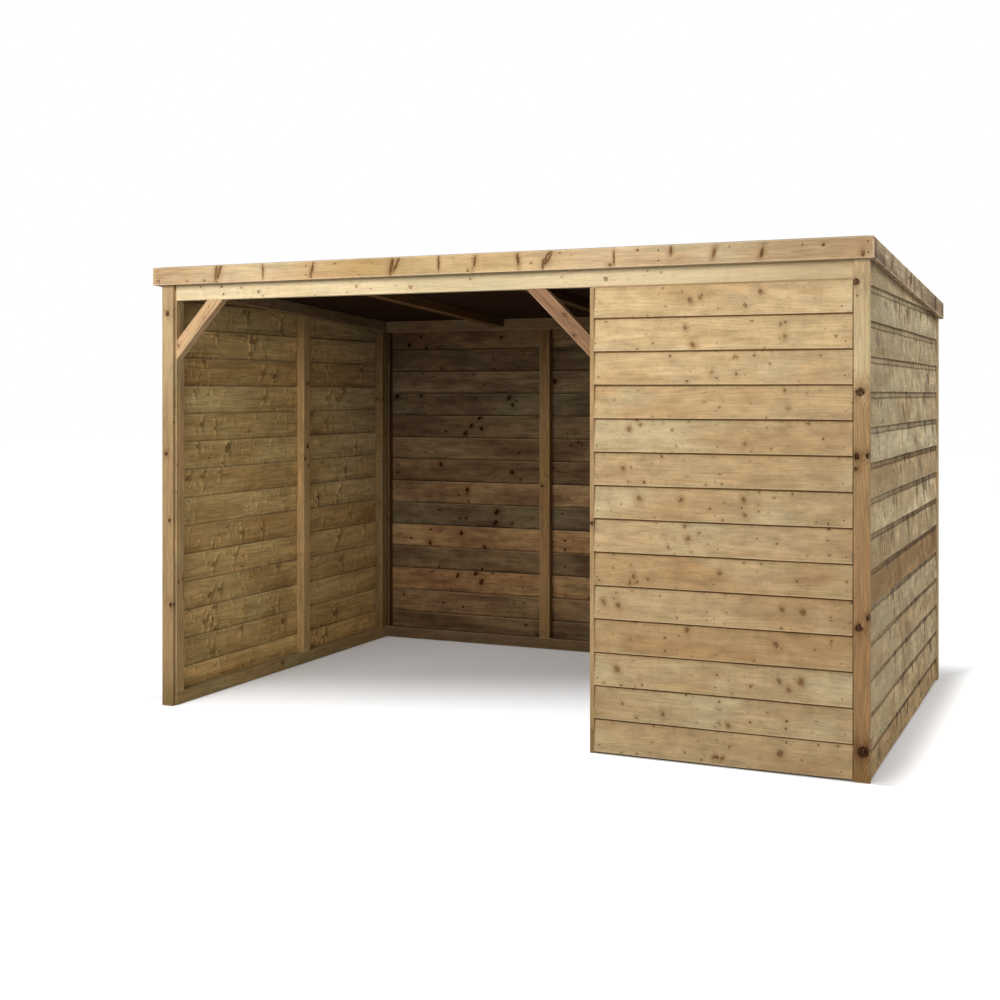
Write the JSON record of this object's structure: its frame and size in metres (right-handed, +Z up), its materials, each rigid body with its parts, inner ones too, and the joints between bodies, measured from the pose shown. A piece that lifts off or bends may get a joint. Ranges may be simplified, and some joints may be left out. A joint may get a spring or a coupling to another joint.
{
  "type": "open-fronted field shelter",
  "caption": "Timber field shelter with a sloping felted roof, an open bay, a closed lapped-board front panel, braces and framed board walls.",
  "frame": {"origin": "on the ground, in the middle of the rectangle that the roof covers", "axes": "+X to the right seen from the open front and along the width, +Y to the back wall, +Z up"},
  "size_m": [3.422, 2.287, 2.1302],
  "materials": {
    "front_boards": "sawn softwood, pale honey, small brown knots",
    "weathered_boards": "pressure-treated sawn softwood, grey-green, streaked",
    "frame_timber": "planed softwood with eased edges, olive brown",
    "pale_timber": "planed softwood, pale cream",
    "brace_timber": "planed softwood, pale orange",
    "trim_timber": "planed softwood, honey, large dark knots",
    "fascia_timber": "planed softwood, tan, dark spike knots",
    "roof_boards": "sheathing board, dark brown underside",
    "roof_felt": "mineral-faced roofing felt, charcoal green"
  },
  "bodies": {
    "root": {"back_bottom_rail": "frame_timber", "back_cladding": "weathered_boards", "back_fascia": "fascia_timber", "back_inner_stud_left": "frame_timber", "back_inner_stud_right": "frame_timber", "back_left_stud": "frame_timber", "back_left_trim": "trim_timber", "back_right_stud": "frame_timber", "back_right_trim": "trim_timber", "back_top_rail": "frame_timber", "front_fascia": "fascia_timber", "front_header": "pale_timber", "front_left_trim": "trim_timber", "front_right_trim": "trim_timber", "left_back_stud": "frame_timber", "left_bottom_rail": "frame_timber", "left_brace": "brace_timber", "left_cladding": "weathered_boards", "left_fascia": "fascia_timber", "left_front_stud": "frame_timber", "left_middle_stud": "frame_timber", "left_top_rail": "frame_timber", "panel_bottom_rail": "frame_timber", "panel_cladding": "front_boards", "panel_corner_stud": "frame_timber", "panel_edge_trim": "trim_timber", "panel_middle_stud": "frame_timber", "panel_opening_stud": "frame_timber", "panel_top_rail": "frame_timber", "rafter_left": "frame_timber", "rafter_middle": "frame_timber", "rafter_right": "frame_timber", "right_back_stud": "frame_timber", "right_bottom_rail": "frame_timber", "right_brace": "brace_timber", "right_cladding": "weathered_boards", "right_fascia": "fascia_timber", "right_front_stud": "frame_timber", "right_middle_stud": "frame_timber", "right_top_rail": "frame_timber", "roof_deck": "roof_boards", "roof_felt": "roof_felt"}
  },
  "joints": []
}
